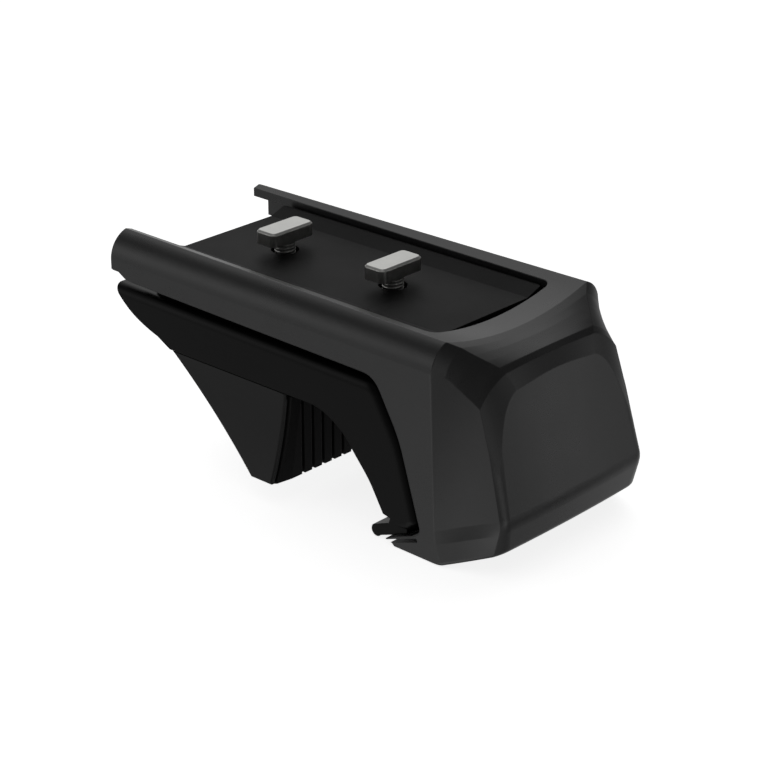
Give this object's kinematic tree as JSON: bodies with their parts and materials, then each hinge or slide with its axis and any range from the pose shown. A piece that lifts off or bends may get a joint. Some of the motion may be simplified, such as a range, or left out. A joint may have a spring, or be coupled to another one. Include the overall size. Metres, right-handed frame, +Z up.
{
  "type": "roof bar foot",
  "caption": "Foot that clamps a load bar to a raised roof rail: a ribbed jaw slides towards a hooked claw, drawn up by a screw under a removable dark cover.",
  "frame": {"origin": "centre of the flat bar seat, on the top face of the saddle pad", "axes": "+X outboard along the bar towards the nose, +Y along the roof rail, +Z up out of the seat"},
  "size_m": [0.1505, 0.0794, 0.0657],
  "materials": {
    "cover_plastic": "fine moulded grain, satin",
    "leg_coat": "die cast, black coated, satin",
    "jaw_coat": "die cast, black coated, satin",
    "rubber": "matt black moulded rubber",
    "steel": "zinc plated",
    "spring_steel": "phosphated spring steel",
    "bronze": "sintered bronze",
    "bush_plastic": "natural bearing plastic"
  },
  "bodies": {
    "leg": {"leg_frame": "leg_coat", "claw_pad": "rubber", "arch_pad": "rubber", "bar_pad": "rubber", "channel_bolts": "steel", "channel_washers": "steel", "channel_nuts": "steel", "guide_pins": "steel", "pin_clips": "spring_steel", "bolt_bush": "bronze", "thrust_washer": "steel", "jaw_spring": "spring_steel"},
    "clamp_bolt": {"clamp_bolt": "steel", "bolt_clip": "spring_steel"},
    "jaw": {"jaw": "jaw_coat", "jaw_pad": "rubber", "jaw_nut": "steel", "nut_keeper": "spring_steel", "jaw_bushes": "bush_plastic"},
    "cover": {"outer_cover": "cover_plastic"}
  },
  "joints": [
    {"name": "jaw_slide", "type": "slide", "parent": "leg", "child": "jaw", "axis": [1, 0, 0], "range_m": [-0.015, 0.009], "deforming": ["jaw_spring"]},
    {"name": "bolt_turn", "type": "hinge", "parent": "leg", "child": "clamp_bolt", "pos_m": [0, 0, -0.0205], "axis": [1, 0, 0], "range_deg": [-2610, 4340]},
    {"name": "cover_slide", "type": "slide", "parent": "leg", "child": "cover", "axis": [1, 0, 0], "range_m": [0, 0.16]}
  ],
  "couplings": [
    {"joint": "bolt_turn", "follows": "jaw_slide", "rad_per_m": -5026.5}
  ]
}
